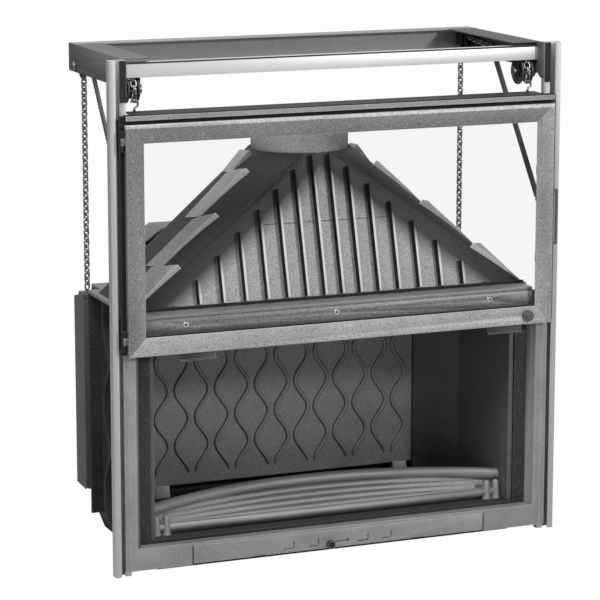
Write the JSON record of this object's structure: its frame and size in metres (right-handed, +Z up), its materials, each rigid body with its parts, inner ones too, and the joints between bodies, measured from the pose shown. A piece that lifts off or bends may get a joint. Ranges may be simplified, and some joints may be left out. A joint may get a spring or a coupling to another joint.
{
  "type": "fireplace insert",
  "caption": "Cast-iron fireplace insert with a ribbed pyramid hood, a flue collar and a glazed door that lifts on chains with counterweights and swings open for cleaning",
  "frame": {"origin": "on the floor under the middle of the whole box", "axes": "+Z up, -Y towards the room (the door side), +X to the right seen from the room"},
  "size_m": [1, 0.42, 1.059],
  "materials": {
    "satin_steel": "satin drawn steel",
    "grey_steel": "grey painted sheet",
    "black_steel": "black painted steel",
    "zinc_steel": "zinc plated",
    "black_iron": "blackened cast iron",
    "weight_steel": "mill scale",
    "grey_iron": "heat-proof grey paint with a sand grain",
    "fire_iron": "dark cast iron",
    "chrome": "bright plated",
    "glass": "clear glass ceramic",
    "rope": "black glass-fibre tape"
  },
  "bodies": {
    "root": {"left_post": "satin_steel", "right_post": "satin_steel", "front_beam": "satin_steel", "rear_beam": "grey_steel", "left_side_beam": "grey_steel", "right_side_beam": "grey_steel", "left_brace": "grey_steel", "right_brace": "grey_steel", "rear_jacket": "grey_steel", "pulley_brackets": "black_steel", "pulley_axles": "zinc_steel", "left_top_chain": "zinc_steel", "right_top_chain": "zinc_steel", "left_rear_chain": "zinc_steel", "right_rear_chain": "zinc_steel", "front_chains": "zinc_steel", "lintel_screws": "zinc_steel", "baffle_hangers": "zinc_steel", "facade_frame": "grey_iron", "lintel": "grey_iron", "top_plate": "grey_iron", "hood_front": "grey_iron", "hood_left": "grey_iron", "hood_right": "grey_iron", "hood_rear": "grey_iron", "flue_collar": "grey_iron", "left_wall": "fire_iron", "right_wall": "fire_iron", "back_wall": "fire_iron", "fireback_plate": "fire_iron", "left_side_panel": "fire_iron", "right_side_panel": "fire_iron", "fireback_lugs": "fire_iron", "hearth_floor": "fire_iron", "ash_grate": "fire_iron", "log_cradle": "fire_iron", "baffle": "fire_iron", "base_box": "fire_iron"},
    "carriage": {"door_carriage": "black_steel", "guide_blocks": "black_steel", "hinge_pins": "zinc_steel"},
    "leaf": {"door_frame": "grey_iron", "door_glass": "glass", "glass_seal": "rope", "glass_clips": "zinc_steel", "side_handle": "chrome", "lift_tabs": "chrome"},
    "latch": {"latch_knob": "chrome"},
    "weight_left": {"left_counterweight": "weight_steel"},
    "weight_right": {"right_counterweight": "weight_steel"},
    "pulley_front_left": {"front_left_pulley": "black_iron"},
    "pulley_front_right": {"front_right_pulley": "black_iron"},
    "pulley_rear_left": {"rear_left_pulley": "black_iron"},
    "pulley_rear_right": {"rear_right_pulley": "black_iron"},
    "drawer": {"ash_drawer_front": "grey_iron", "ash_pan": "zinc_steel"},
    "slider": {"air_slider": "zinc_steel"}
  },
  "joints": [
    {"name": "door_lift", "type": "slide", "parent": "root", "child": "carriage", "axis": [0, 0, 1], "range_m": [-0.41, 0], "deforming": ["front_chains"]},
    {"name": "door_swing", "type": "hinge", "parent": "carriage", "child": "leaf", "pos_m": [-0.4795, -0.1885, 0.7], "axis": [0, 0, -1], "range_deg": [0, 90]},
    {"name": "latch_turn", "type": "hinge", "parent": "leaf", "child": "latch", "pos_m": [0.418, -0.193, 0.4825], "axis": [0, 1, 0], "range_deg": [0, 90]},
    {"name": "weight_left_slide", "type": "slide", "parent": "root", "child": "weight_left", "axis": [0, 0, 1], "range_m": [0, 0.41], "deforming": ["left_rear_chain"]},
    {"name": "weight_right_slide", "type": "slide", "parent": "root", "child": "weight_right", "axis": [0, 0, 1], "range_m": [0, 0.41], "deforming": ["right_rear_chain"]},
    {"name": "pulley_front_left_turn", "type": "hinge", "parent": "root", "child": "pulley_front_left", "pos_m": [-0.438, -0.1155, 0.995], "axis": [1, 0, 0], "range_deg": [0, 905]},
    {"name": "pulley_front_right_turn", "type": "hinge", "parent": "root", "child": "pulley_front_right", "pos_m": [0.438, -0.1155, 0.995], "axis": [1, 0, 0], "range_deg": [0, 905]},
    {"name": "pulley_rear_left_turn", "type": "hinge", "parent": "root", "child": "pulley_rear_left", "pos_m": [-0.438, 0.16, 1.015], "axis": [1, 0, 0], "range_deg": [0, 905]},
    {"name": "pulley_rear_right_turn", "type": "hinge", "parent": "root", "child": "pulley_rear_right", "pos_m": [0.438, 0.16, 1.015], "axis": [1, 0, 0], "range_deg": [0, 905]},
    {"name": "ash_drawer_slide", "type": "slide", "parent": "root", "child": "drawer", "axis": [0, -1, 0], "range_m": [0, 0.25]},
    {"name": "air_slide", "type": "slide", "parent": "drawer", "child": "slider", "axis": [1, 0, 0], "range_m": [0, 0.036]}
  ],
  "couplings": [
    {"joint": "weight_left_slide", "follows": "door_lift", "ratio": -1},
    {"joint": "weight_right_slide", "follows": "door_lift", "ratio": -1},
    {"joint": "pulley_front_left_turn", "follows": "door_lift", "rad_per_m": -38.462},
    {"joint": "pulley_front_right_turn", "follows": "door_lift", "rad_per_m": -38.462},
    {"joint": "pulley_rear_left_turn", "follows": "door_lift", "rad_per_m": -38.462},
    {"joint": "pulley_rear_right_turn", "follows": "door_lift", "rad_per_m": -38.462}
  ]
}
